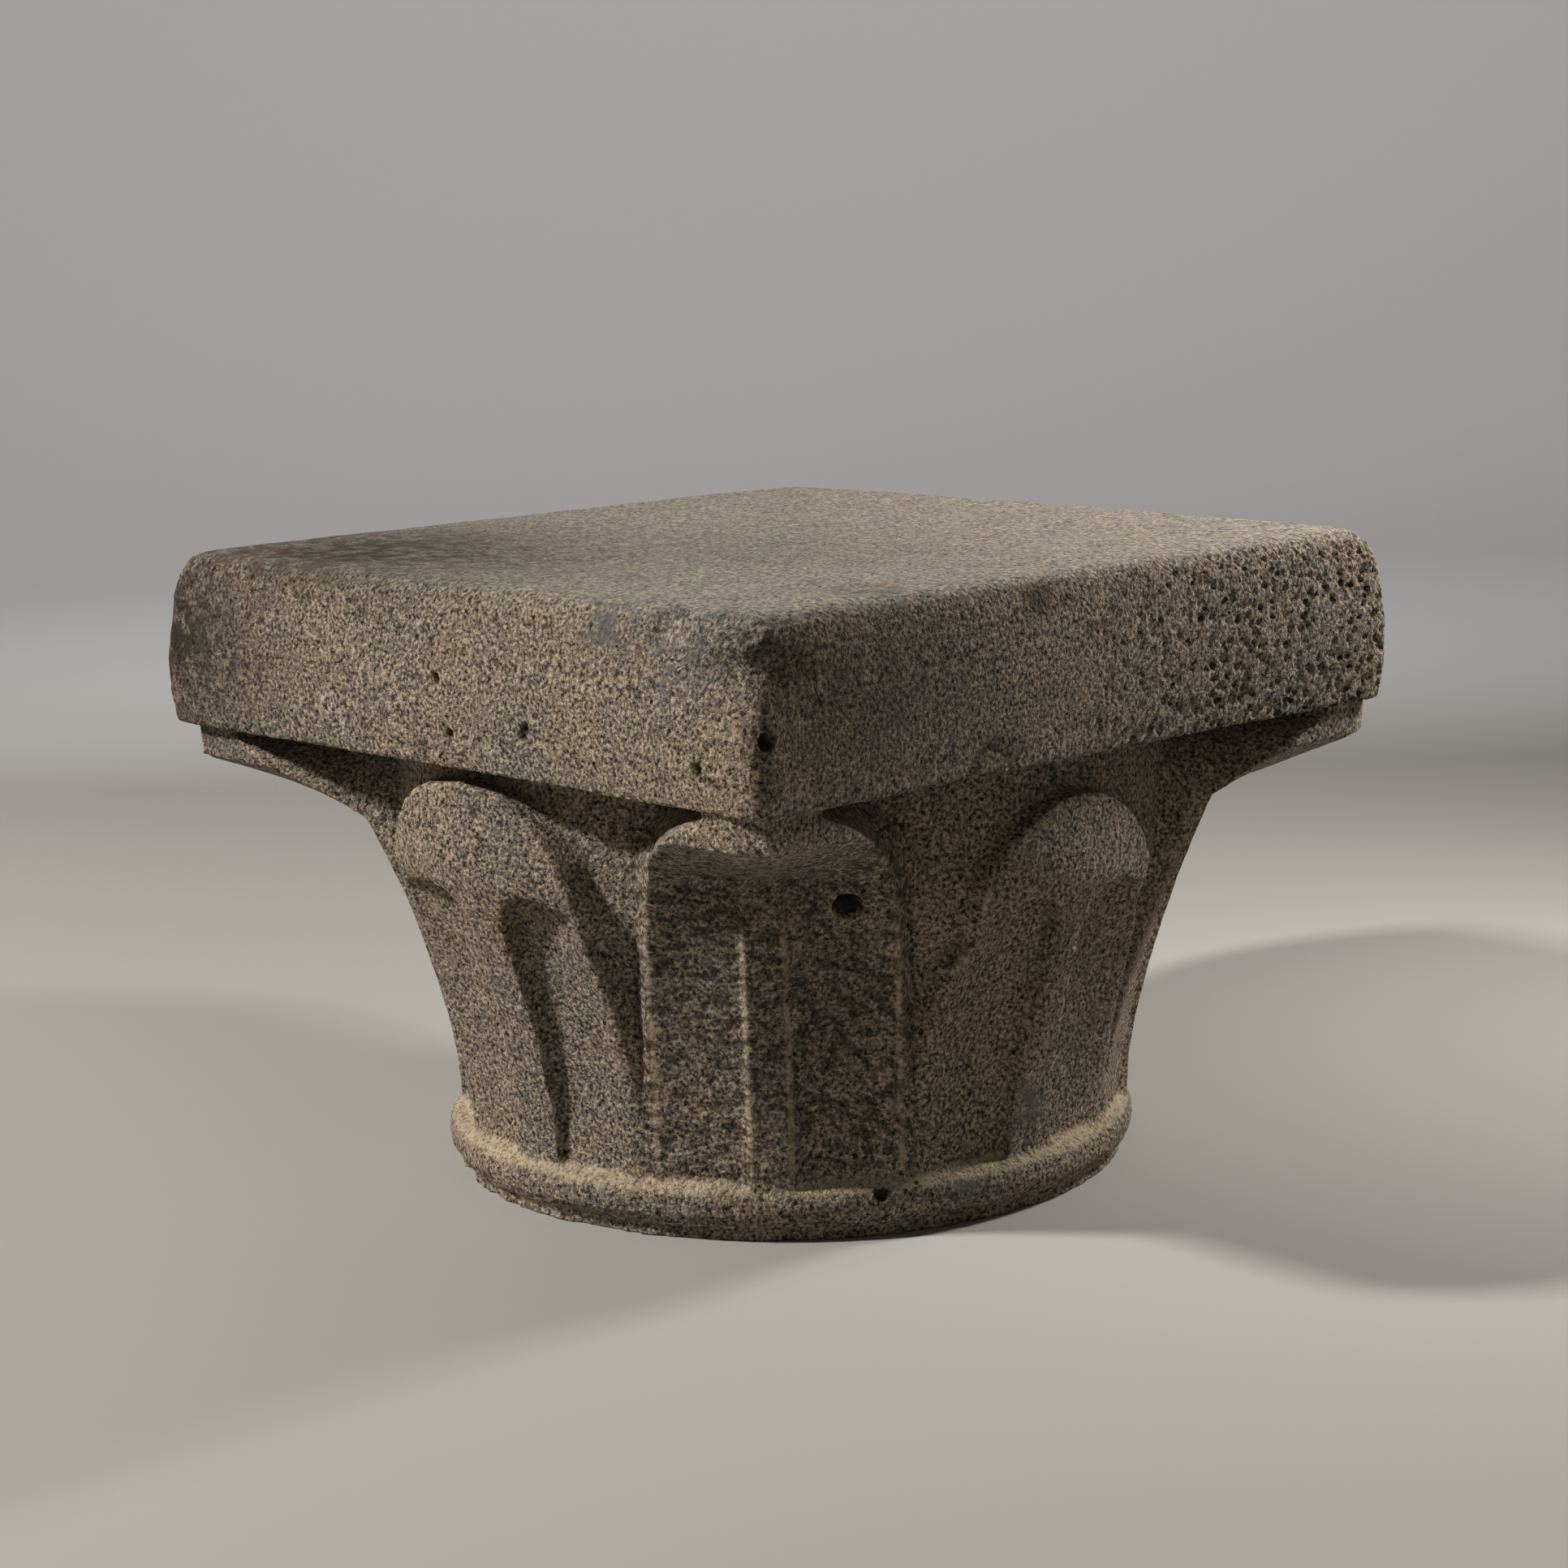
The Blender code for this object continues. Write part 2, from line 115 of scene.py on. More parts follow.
def smoothed(mesh, values, passes, share=0.5):
    # each vertex drifts towards its neighbours' mean, pass after pass
    edges = np.empty(len(mesh.edges) * 2, np.int32)
    mesh.edges.foreach_get("vertices", edges)
    first, second = edges.reshape(-1, 2).T
    total = len(values)
    count = np.maximum(np.bincount(first, minlength=total) + np.bincount(second, minlength=total), 1)
    values = values.copy()
    for _ in range(passes):
        mean = np.empty_like(values)
        for k in range(values.shape[1]):
            column = values[:, k]
            mean[:, k] = np.bincount(first, column[second], total)
            mean[:, k] += np.bincount(second, column[first], total)
        values += share * (mean / count[:, None] - values)
    return values


def soften(values, low, high):
    t = np.clip((values - low) / (high - low), 0, 1)
    return t * t * (3 - 2 * t)


def near(points, place, reach):
    # 1 at the place, fading to 0 over the reach, which may differ along X, Y and Z
    away = np.linalg.norm((points - np.array(place)) / np.array(reach), axis=1)
    return np.exp(-away * away)


# The block: the CAD solid, remeshed finely enough to wear down

block = {
    "voxel": 0.0018,            # m, under the size of the smallest chip
    "softening": 1,             # smoothing passes, which round every arris by about 1 mm
    "weld": 1e-6,               # m, under which two corners are one
    "bedDepth": 0.0006,         # m, height under which the foot counts as the flat bed
    "trianglesKept": 188000,
}

capital = addObject("weathered_capital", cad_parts["capital"].data.copy())
capital.data.materials.clear()
work = bmesh.new()
work.from_mesh(capital.data)
bmesh.ops.remove_doubles(work, verts=work.verts, dist=block["weld"])
work.to_mesh(capital.data)
work.free()
remesh = capital.modifiers.new("fineBlock", "REMESH")
remesh.mode = "VOXEL"
remesh.voxel_size = block["voxel"]
settle(capital)
mesh = capital.data
flatFoot = readPoints(mesh)[:, 2] < block["bedDepth"]
points = smoothed(mesh, readPoints(mesh), block["softening"])
points[flatFoot, 2] = 0.0
writePoints(mesh, points)
print("block remeshed:", len(mesh.vertices), "vertices")


# Breaks, holes and marks, each at its own place on the stone

# A chip is a flat break: what stands above its plane is knocked off. Each has the place it is centred on, the
# way its plane faces, how far in it sinks, how far it reaches and the lowest height it touches, in metres
chips = [
    ((0.2740, -0.2740, 0.3740), (0.64, -0.64, 0.42), 0.0036, 0.036, 0.368),
    ((0.2600, -0.2640, 0.3985), (0.40, -0.50, 0.77), 0.0020, 0.026, 0.35),
    ((0.2350, -0.2740, 0.3935), (0.20, -0.72, 0.66), 0.0045, 0.028, 0.35),
    ((0.2150, -0.2760, 0.3860), (-0.10, -0.85, 0.50), 0.0028, 0.020, 0.35),
    ((0.2790, -0.2795, 0.3500), (0.75, -0.65, 0.10), 0.0020, 0.012, 0.30),
    ((0.2795, -0.2790, 0.3260), (0.60, -0.80, 0.00), 0.0035, 0.013, 0.29),
    ((0.2795, -0.2790, 0.3090), (0.80, -0.60, 0.20), 0.0040, 0.009, 0.302),
    ((0.2790, -0.1180, 0.2865), (0.55, 0.00, -0.83), 0.0030, 0.007, 0.28),
    ((0.2790, -0.1020, 0.2865), (0.55, 0.10, -0.83), 0.0026, 0.006, 0.28),
    ((-0.1200, 0.2790, 0.3980), (0.00, 0.60, 0.80), 0.0040, 0.024, 0.36),
    ((0.0500, 0.2790, 0.3990), (0.00, 0.60, 0.80), 0.0035, 0.030, 0.36),
    ((-0.2790, 0.0700, 0.3985), (-0.60, 0.00, 0.80), 0.0040, 0.028, 0.36),
    ((-0.2790, -0.0900, 0.3985), (-0.60, 0.00, 0.80), 0.0035, 0.022, 0.36),
]
breakage = {
    "fadeOut": 1.6,             # reaches from its centre at which a chip has died away
    "roughPerMetre": 130,       # how fine the roughness of a broken plane is
    "roughHigh": 0.0016,        # m
}

# A pit is a round hole: its place, half its width and its depth, in metres
pits = [
    ((0.2161, -0.1522, 0.2133), 0.0078, 0.014),    # old natural hole in the corner leaf
    ((0.0014, -0.2808, 0.3434), 0.0032, 0.005),
    ((0.0110, -0.2798, 0.3108), 0.0030, 0.005),
    ((0.0823, -0.2799, 0.3206), 0.0030, 0.005),
    ((0.0800, -0.2799, 0.3160), 0.0026, 0.004),
    ((0.2293, -0.2792, 0.3134), 0.0032, 0.005),
    ((0.2790, -0.2690, 0.3332), 0.0045, 0.007),
    ((0.1959, -0.1089, 0.0290), 0.0040, 0.005),
]

# A faint old groove in the shape of an arch on the right face, and the ragged edge of the bed
trace = {
    "y": -0.0935, "z": 0.2860, "halfWidth": 0.0190, "rise": 0.0200, "groove": 0.0028, "depth": 0.0020,
    "faceFrom": 0.25,           # m along X, beyond which the right face lies
}
bedRim = {
    "top": 0.014, "inner": 0.195, "bite": 0.0060, "biteSize": 0.022,
    "fineShare": 0.5, "finer": 2.7,                 # smaller bites on the large ones
    "start": 0.25, "gain": 1.4,                     # how much of the rim is bitten, and how sharply
    "worst": -125, "spread": 42, "least": 0.35,     # degrees round the rim, and the share left elsewhere
}


def breakOff(points, normals):
    # the points after every break, and how deep in a hole each one is, from 0 to 1
    points = points.copy()
    holes = np.zeros(len(points))
    for at, facing, sink, reach, lowest in chips:
        facing = np.array(facing) / np.linalg.norm(facing)
        away = np.linalg.norm(points - np.array(at), axis=1)
        farthest = breakage["fadeOut"] * reach
        close = np.nonzero(away < farthest)[0]
        above = (points[close] - np.array(at)) @ facing + sink
        rough = np.array([noise.noise(Vector(p) * breakage["roughPerMetre"]) for p in points[close]])
        rough *= breakage["roughHigh"]
        fade = (1 - soften(away[close], reach, farthest)) * (points[close, 2] > lowest)
        points[close] -= facing * (np.clip(above + rough, 0, None) * fade)[:, None]
    for at, halfWidth, deep in pits:
        away = np.linalg.norm(points - np.array(at), axis=1) / halfWidth
        bowl = np.clip(1 - away ** 2, 0, 1) ** 0.5
        points -= normals * (bowl * deep)[:, None]
        holes = np.maximum(holes, bowl)
    sideways = (points[:, 1] - trace["y"]) / trace["halfWidth"]
    arch = np.hypot(sideways, (points[:, 2] - trace["z"]) / trace["rise"])
    off = (arch - 1) * trace["halfWidth"] / trace["groove"]
    marked = (points[:, 0] > trace["faceFrom"]) & (points[:, 2] > trace["z"])
    points[:, 0] -= trace["depth"] * np.exp(-off ** 2) * marked
    radius = np.hypot(points[:, 0], points[:, 1])
    azimuth = np.degrees(np.arctan2(points[:, 1], points[:, 0]))
    rim = np.nonzero((points[:, 2] < bedRim["top"]) & (radius > bedRim["inner"]))[0]
    spots = [Vector((x, y, 0)) / bedRim["biteSize"] for x, y, _ in points[rim]]
    rough = np.array([noise.noise(p) + bedRim["fineShare"] * noise.noise(p * bedRim["finer"]) for p in spots])
    share = np.exp(-((azimuth[rim] - bedRim["worst"]) / bedRim["spread"]) ** 2)
    share = bedRim["least"] + (1 - bedRim["least"]) * share
    bite = bedRim["bite"] * np.clip(bedRim["start"] + bedRim["gain"] * rough, 0, 1) * share
    points[rim, :2] *= (1 - bite / radius[rim])[:, None]
    return points, holes


points, holes = breakOff(readPoints(mesh), readNormals(mesh))
writePoints(mesh, points)
writeMap(mesh, "holes", holes)
print("chips and holes cut")


# Maps of the surface that the weathering follows

maps = {
    "finePasses": 8,            # smoothing that tells a fine arris or groove, about 4 mm
    "widePasses": 60,           # the same for broad ones, about 12 mm
    # each pair is where a map begins and where it is full
    "arris": (0.0006, 0.0032),              # m that an arris stands out
    "foot": (0.0004, 0.004),                # m above the bed
    "upward": (0.55, 0.9), "topFrom": 0.36,     # lean of the top face, and the height it starts at
    "coarseAlong": (-0.10, 0.16), "coarseFace": (0.262, 0.274), "coarseFrom": 0.285,
}

points = readPoints(mesh)
normals = readNormals(mesh)
fine = smoothed(mesh, points, maps["finePasses"])
wide = smoothed(mesh, fine, maps["widePasses"])
arris = soften(-np.einsum("ij,ij->i", wide - points, normals), *maps["arris"])
foot = soften(points[:, 2], *maps["foot"])          # 0 on the flat bed, so that it stays flat
topFace = soften(normals[:, 2], *maps["upward"]) * (points[:, 2] > maps["topFrom"])
rightEnd = soften(points[:, 1], *maps["coarseAlong"]) * soften(points[:, 0], *maps["coarseFace"])
rightEnd *= points[:, 2] > maps["coarseFrom"]
writeMap(mesh, "arris", arris * foot)
writeMap(mesh, "foot", foot)
writeMap(mesh, "topFace", topFace)
writeMap(mesh, "coarse", rightEnd)


# Weathering: a Geometry Nodes skin of sways, lumps, crumbled arrises and coarse pits

weather = {
    "Sway Size": 0.075, "Sway Height": 0.0024,          # the carver's uneven planes
    "Lump Size": 0.009, "Lump Height": 0.0009,          # tooled, weathered faces
    "Crumble Size": 0.006, "Crumble Depth": 0.0018,     # bites out of the arrises
    "Pit Spacing": 0.0070, "Pit Depth": 0.0024,         # open pits at the coarse end of the block
    "Seed": 3.0,
}
skinShape = {
    "rough": 0.55,              # how fast the finer octaves of a cloud fade
    "biteFrom": 0.42, "biteGain": 4.0,          # level of the cloud above which an arris crumbles
    "pitInner": 0.12, "pitOuter": 0.48,         # share of a cell that is the pit's floor, and its mouth
    "topCalm": 0.55,            # share of the lumps worn off the top face
}


def stoneSkinTree():
    tree = bpy.data.node_groups.new("stoneSkin", "GeometryNodeTree")
    tree.interface.new_socket(name="Geometry", in_out="INPUT", socket_type="NodeSocketGeometry")
    for name in weather:
        tree.interface.new_socket(name=name, in_out="INPUT", socket_type="NodeSocketFloat")
    tree.interface.new_socket(name="Stone", in_out="INPUT", socket_type="NodeSocketMaterial")
    tree.interface.new_socket(name="Geometry", in_out="OUTPUT", socket_type="NodeSocketGeometry")
    given = addNode(tree, "NodeGroupInput").outputs
    position = addNode(tree, "GeometryNodeInputPosition").outputs[0]
    normal = addNode(tree, "GeometryNodeInputNormal").outputs[0]

    def maths(operation, a, b=0.0):
        return addNode(tree, "ShaderNodeMath", {0: a, 1: b}, operation=operation).outputs[0]

    def mapNamed(name):
        return addNode(tree, "GeometryNodeInputNamedAttribute", {"Name": name}, data_type="FLOAT").outputs[0]

    def cloud(size, detail, shift):
        # a noise of the given size, which the seed moves
        scale = maths("DIVIDE", 1.0, given[size])
        seed = maths("ADD", given["Seed"], shift)
        return addNode(tree, "ShaderNodeTexNoise", {"Vector": position, "W": seed, "Scale": scale,
                                                    "Detail": detail, "Roughness": skinShape["rough"]},
                       noise_dimensions="4D").outputs[0]

    sway = maths("MULTIPLY", cloud("Sway Size", 1.0, 0.0), given["Sway Height"])
    lump = maths("MULTIPLY", cloud("Lump Size", 3.0, 7.0), given["Lump Height"])
    bite = maths("MAXIMUM", maths("SUBTRACT", cloud("Crumble Size", 2.0, 13.0), skinShape["biteFrom"]), 0.0)
    bite = maths("MULTIPLY", maths("MULTIPLY", bite, skinShape["biteGain"]), given["Crumble Depth"])
    bite = maths("MULTIPLY", bite, mapNamed("arris"))
    pitScale = maths("DIVIDE", 1.0, given["Pit Spacing"])
    cells = addNode(tree, "ShaderNodeTexVoronoi", {"Vector": position, "Scale": pitScale, "Randomness": 1.0})
    opening = addNode(tree, "ShaderNodeMapRange", {
        "Value": cells.outputs["Distance"], "From Min": skinShape["pitInner"],
        "From Max": skinShape["pitOuter"], "To Min": 1.0, "To Max": 0.0},
        interpolation_type="SMOOTHSTEP").outputs[0]
    pit = maths("MULTIPLY", maths("MULTIPLY", opening, given["Pit Depth"]), mapNamed("coarse"))
    quiet = maths("SUBTRACT", 1.0, maths("MULTIPLY", mapNamed("topFace"), skinShape["topCalm"]))
    worn = maths("ADD", sway, maths("MULTIPLY", lump, quiet))
    worn = maths("ADD", maths("ADD", worn, bite), pit)
    inward = maths("MULTIPLY", maths("MULTIPLY", worn, mapNamed("foot")), -1.0)
    offset = addNode(tree, "ShaderNodeVectorMath", {0: normal, 3: inward}, operation="SCALE").outputs[0]
    moved = addNode(tree, "GeometryNodeSetPosition", {"Geometry": given["Geometry"],
                                                      "Offset": offset}).outputs[0]
    real = addNode(tree, "GeometryNodeRealizeInstances", {"Geometry": moved}).outputs[0]
    done = addNode(tree, "GeometryNodeSetMaterial", {"Geometry": real, "Material": given["Stone"]}).outputs[0]
    addNode(tree, "NodeGroupOutput", {"Geometry": done})
    return tree


# Weathered basalt: a fine, hard lava with round gas pores, dressed with a point and long exposed. It is
# matt all over, mottled between warm brown earth and the cool grey of the fresh stone, and holds beige dust
# in its grooves

basalt = {
    "earth": "#80705f", "ash": "#6f6860", "slate": "#5e5f5f", "pale": "#7e7d78",    # the stone itself
    "grit": "#bdab92", "deep": "#17120e",                                           # its grain
    "dustAndHighlightBeige": "#c3b194", "rust": "#85573a", "chalk": "#cdc5b9", "sootAndShade": "#28221c",   # what lies on it; the beige and the black also serve as painted highlight and painted shade
    "patchMm": 90.0, "mottleMm": 14.0, "clumpMm": 8.0, "spongeMm": 2.6, "coarseMm": 6.0, "poreMm": 7.5,
    "pitMm": 6.0, "toolMm": 6.2, "strokeMm": 11.0, "topMottleMm": 34.0, "driftMm": 11.0, "lineBreakMm": 14.0,
    "spongeHighMm": 3.2, "coarseHighMm": 1.6, "poreDeepMm": 1.8, "pitDeepMm": 4.0, "toolHighMm": 8.0,
    # where a noise begins to tell and where it is full, and then what it gives there if not 0 and 1
    "patchRange": (0.38, 0.62), "mottleRange": (0.30, 0.70), "topMottle": (0.35, 0.60, 0.2, 0.85),
    "gritRange": (0.51, 0.59), "gritByClump": (0.40, 0.60, 0.62, 0.98),
    "deepRange": (0.46, 0.40), "deepByClump": (0.40, 0.60, 0.98, 0.82),
    "rustRange": (0.2, 0.8), "slateRange": (0.1, 0.8, 0.2, 1.0), "sootAndShadeRange": (0.0, 0.8, 0.58, 1.0),
    "chalkRange": (0.42, 0.56), "driftRange": (0.30, 0.55, 0.35, 1.0),
    "driftByGrain": (0.34, 0.50, 0.35, 1.0), "edgeByGrain": (0.36, 0.50, 0.3, 1.0),
    "strokeShadeRange": (0.50, 0.36, 0.0, 0.6),
    "slateShare": 0.30, "topPale": 0.20, "topCalm": 0.55, "darkShare": 0.88, "raggedShare": 0.30,
    "poreCells": (0.55, 0.22), "pitCells": (0.10, 0.42),        # share of empty cells, and the widest hole
    "poreEdge": (-0.06, 0.02),
    # upright edges of the front leaf with beige lines, partly dust and partly a painted highlight: where they
    # are, how broad, how broken up and where they fade
    "dustAndHighlightEdgesMm": (-73.5, -17.0, 7.8, 73.5), "lineWidth": (0.0006, 0.0026), "lineWanderMm": 8.0,
    "lineWanders": 0.004, "lineBreak": (0.34, 0.54, 0.35, 1.0), "lineFade": (0.185, 0.215, 0.50, 0.0),
    "strokeSlopes": {"rows": 0.0, "slants": -48.0},             # degrees, by the map that they follow
    "roughness": 0.95, "specular": 0.25,
}


def weatheredBasalt():
    material = bpy.data.materials.new("weatheredBasalt")
    material.use_nodes = True
    tree = material.node_tree
    tree.nodes.clear()
    place = addNode(tree, "ShaderNodeTexCoord").outputs["Object"]

    def maths(operation, a, b=0.0):
        return addNode(tree, "ShaderNodeMath", {0: a, 1: b}, operation=operation).outputs[0]

    def cloud(sizeMm, detail=3.0, rough=0.6, shift=0.0, at=place):
        # a noise of the given size; each shift gives another one, unrelated to the rest
        moved = addNode(tree, "ShaderNodeVectorMath", {0: at, 1: (shift, shift * 0.7, -shift)},
                        operation="ADD").outputs[0]
        return addNode(tree, "ShaderNodeTexNoise", {"Vector": moved, "Scale": 1000.0 / sizeMm,
                                                    "Detail": detail, "Roughness": rough}).outputs[0]

    def ramp(value, low, high, start=0.0, end=1.0):
        # goes smoothly from start to end while the value goes from low to high
        return addNode(tree, "ShaderNodeMapRange", {"Value": value, "From Min": low, "From Max": high,
                                                    "To Min": start, "To Max": end},
                       interpolation_type="SMOOTHSTEP").outputs[0]

    def blend(share, under, over):
        # the colour over laid on the colour under; each is a name from the dictionary or a socket
        def colour(value):
            return linear(basalt[value]) if isinstance(value, str) else value
        return addNode(tree, "ShaderNodeMix", {0: share, 6: colour(under), 7: colour(over)},
                       data_type="RGBA", blend_type="MIX").outputs[2]

    def mapNamed(name):
        return addNode(tree, "ShaderNodeAttribute", attribute_name=name).outputs["Fac"]

    def pores(sizeMm, few, widest):
        # round gas pores, one in some of the cells; few is the share of the cells left empty
        cells = addNode(tree, "ShaderNodeTexVoronoi", {"Vector": place, "Scale": 1000.0 / sizeMm,
                                                       "Randomness": 1.0})
        pick = addNode(tree, "ShaderNodeSeparateColor", {0: cells.outputs["Color"]}).outputs[0]
        edge = ramp(pick, few, 1.0, 0.0, widest)
        away = maths("ADD", maths("SUBTRACT", cells.outputs["Distance"], edge), ragged)
        return ramp(away, *basalt["poreEdge"], 1.0, 0.0)

    # across the front corner from its left to its right, and outwards through it, both level
    split = addNode(tree, "ShaderNodeSeparateXYZ", {0: place}).outputs
    across = maths("MULTIPLY", maths("ADD", split[0], split[1]), math.sqrt(0.5))
    depth = maths("MULTIPLY", maths("SUBTRACT", split[0], split[1]), math.sqrt(0.5))

    def strokes(slope):
        # marks of the point, long across the front corner and short down it, tilted by the slope in degrees
        c, s = math.cos(math.radians(slope)), math.sin(math.radians(slope))
        along = maths("ADD", maths("MULTIPLY", across, c), maths("MULTIPLY", split[2], s))
        down = maths("SUBTRACT", maths("MULTIPLY", split[2], c), maths("MULTIPLY", across, s))
        squeeze = basalt["toolMm"] / basalt["strokeMm"]
        flat = addNode(tree, "ShaderNodeCombineXYZ", {0: maths("MULTIPLY", along, squeeze), 1: down,
                                                      2: maths("MULTIPLY", depth, squeeze)}).outputs[0]
        return cloud(basalt["toolMm"], detail=1.0, rough=0.5, shift=2.0, at=flat)

    wander = maths("SUBTRACT", cloud(basalt["lineWanderMm"], detail=2.0, shift=23.0), 0.5)
    wandered = maths("ADD", across, maths("MULTIPLY", wander, basalt["lineWanders"]))

    def dustAndHighlightLine(middleMm):
        # a beige line along an upright edge of the front corner's leaf, a little uneven: partly dust, partly
        # a painted highlight on the edge
        away = maths("ABSOLUTE", maths("SUBTRACT", wandered, middleMm / 1000))
        return ramp(away, *basalt["lineWidth"], 1.0, 0.0)

    patches = ramp(cloud(basalt["patchMm"], detail=4.0), *basalt["patchRange"])
    mottle = ramp(cloud(basalt["mottleMm"], rough=0.65, shift=3.0), *basalt["mottleRange"])
    clumps = cloud(basalt["clumpMm"], detail=4.0, rough=0.65, shift=37.0)
    sponge = cloud(basalt["spongeMm"], rough=0.74, shift=5.0)
    coarseGrain = cloud(basalt["coarseMm"], detail=2.0, shift=11.0)
    ragged = maths("MULTIPLY", maths("SUBTRACT", sponge, 0.5), basalt["raggedShare"])
    smooth = mapNamed("topFace")
    rough = maths("SUBTRACT", 1.0, maths("MULTIPLY", smooth, basalt["topCalm"]))
    pore = maths("MULTIPLY", pores(basalt["poreMm"], *basalt["poreCells"]), rough)
    pit = maths("MULTIPLY", pores(basalt["pitMm"], *basalt["pitCells"]), mapNamed("coarse"))

    # the stone, then its grain
    colour = blend(patches, "earth", "ash")
    colour = blend(maths("MULTIPLY", mottle, basalt["slateShare"]), colour, "slate")
    topMottle = ramp(cloud(basalt["topMottleMm"], detail=4.0, shift=9.0), *basalt["topMottle"])
    colour = blend(maths("MULTIPLY", smooth, topMottle), colour, "pale")
    bright = maths("MULTIPLY", ramp(sponge, *basalt["gritRange"]), ramp(clumps, *basalt["gritByClump"]))
    colour = blend(bright, colour, "grit")
    hollow = maths("MULTIPLY", ramp(sponge, *basalt["deepRange"]), ramp(clumps, *basalt["deepByClump"]))
    colour = blend(hollow, colour, "deep")
    colour = blend(maths("MULTIPLY", smooth, basalt["topPale"]), colour, "pale")

    # stains and dust, with painted shade and painted highlights among them
    # the black stain map carries real dark stains and also painted shade: under the lip, in the notch, on the
    # top's left and middle, in grooves that look down
    for stain, through in (("rust", mottle), ("slate", mottle), ("sootAndShade", mottle), ("chalk", sponge)):
        share = maths("MULTIPLY", mapNamed(stain), ramp(through, *basalt[stain + "Range"]))
        colour = blend(share, colour, stain)
    drift = ramp(cloud(basalt["driftMm"], shift=17.0), *basalt["driftRange"])
    drift = maths("MULTIPLY", mapNamed("dustLies"), drift)
    drift = maths("MULTIPLY", drift, ramp(sponge, *basalt["driftByGrain"]))
    colour = blend(drift, colour, "dustAndHighlightBeige")
    # beige lines on the front leaf's upright edges: partly dust, partly a painted highlight
    lines = dustAndHighlightLine(basalt["dustAndHighlightEdgesMm"][0])
    for middleMm in basalt["dustAndHighlightEdgesMm"][1:]:
        lines = maths("MAXIMUM", lines, dustAndHighlightLine(middleMm))
    onLeaf = maths("ADD", mapNamed("rows"), mapNamed("slants"))
    broken = ramp(cloud(basalt["lineBreakMm"], shift=29.0), *basalt["lineBreak"])
    lines = maths("MULTIPLY", maths("MULTIPLY", lines, broken), onLeaf)
    colour = blend(maths("MULTIPLY", lines, ramp(split[2], *basalt["lineFade"])), colour, "dustAndHighlightBeige")
    # beige on raised edges: partly dust, partly a painted highlight on the arrises
    edgeDustAndHighlight = maths("MULTIPLY", mapNamed("edges"), ramp(sponge, *basalt["edgeByGrain"]))
    colour = blend(edgeDustAndHighlight, colour, "dustAndHighlightBeige")
    # near-black inside pores, pits and holes: painted shade in these hollows
    dark = maths("MAXIMUM", maths("MAXIMUM", pore, pit), mapNamed("holes"))
    colour = blend(maths("MULTIPLY", dark, basalt["darkShare"]), colour, "deep")

    # relief finer than the mesh
    high = maths("MULTIPLY", sponge, basalt["spongeHighMm"] / 1000)
    high = maths("ADD", high, maths("MULTIPLY", coarseGrain, basalt["coarseHighMm"] / 1000))
    high = maths("MULTIPLY", high, rough)
    high = maths("SUBTRACT", high, maths("MULTIPLY", pore, basalt["poreDeepMm"] / 1000))
    high = maths("SUBTRACT", high, maths("MULTIPLY", pit, basalt["pitDeepMm"] / 1000))
    for name, slope in basalt["strokeSlopes"].items():
        marks = strokes(slope)
        tooled = maths("MULTIPLY", marks, basalt["toolHighMm"] / 1000)
        high = maths("ADD", high, maths("MULTIPLY", tooled, mapNamed(name)))
        # painted shade in the low part of each point mark
        paintedMarkShade = maths("MULTIPLY", ramp(marks, *basalt["strokeShadeRange"]), mapNamed(name))
        colour = blend(paintedMarkShade, colour, "deep")
    bump = addNode(tree, "ShaderNodeBump", {"Height": high, "Distance": 1.0, "Strength": 1.0}).outputs[0]
    shader = addNode(tree, "ShaderNodeBsdfPrincipled", {
        "Base Color": colour, "Roughness": basalt["roughness"], "IOR": 1.5,
        "Specular IOR Level": basalt["specular"], "Normal": bump})
    addNode(tree, "ShaderNodeOutputMaterial", {"Surface": shader.outputs[0]})
    return material


stone = weatheredBasalt()
skin = capital.modifiers.new("stoneSkin", "NODES")
skin.node_group = stoneSkinTree()
for item in skin.node_group.interface.items_tree:
    if item.item_type == "SOCKET" and item.in_out == "INPUT" and item.name in weather:
        skin[item.identifier] = weather[item.name]
    if item.item_type == "SOCKET" and item.name == "Stone":
        skin[item.identifier] = stone
settle(capital)
mesh = capital.data
points = readPoints(mesh)
points = np.clip(points, np.array(cadLow), np.array(cadHigh))
writePoints(mesh, points)
print("weathered:", len(mesh.vertices), "vertices")


# Where dust lies, where stains are, and where shade and highlights are painted

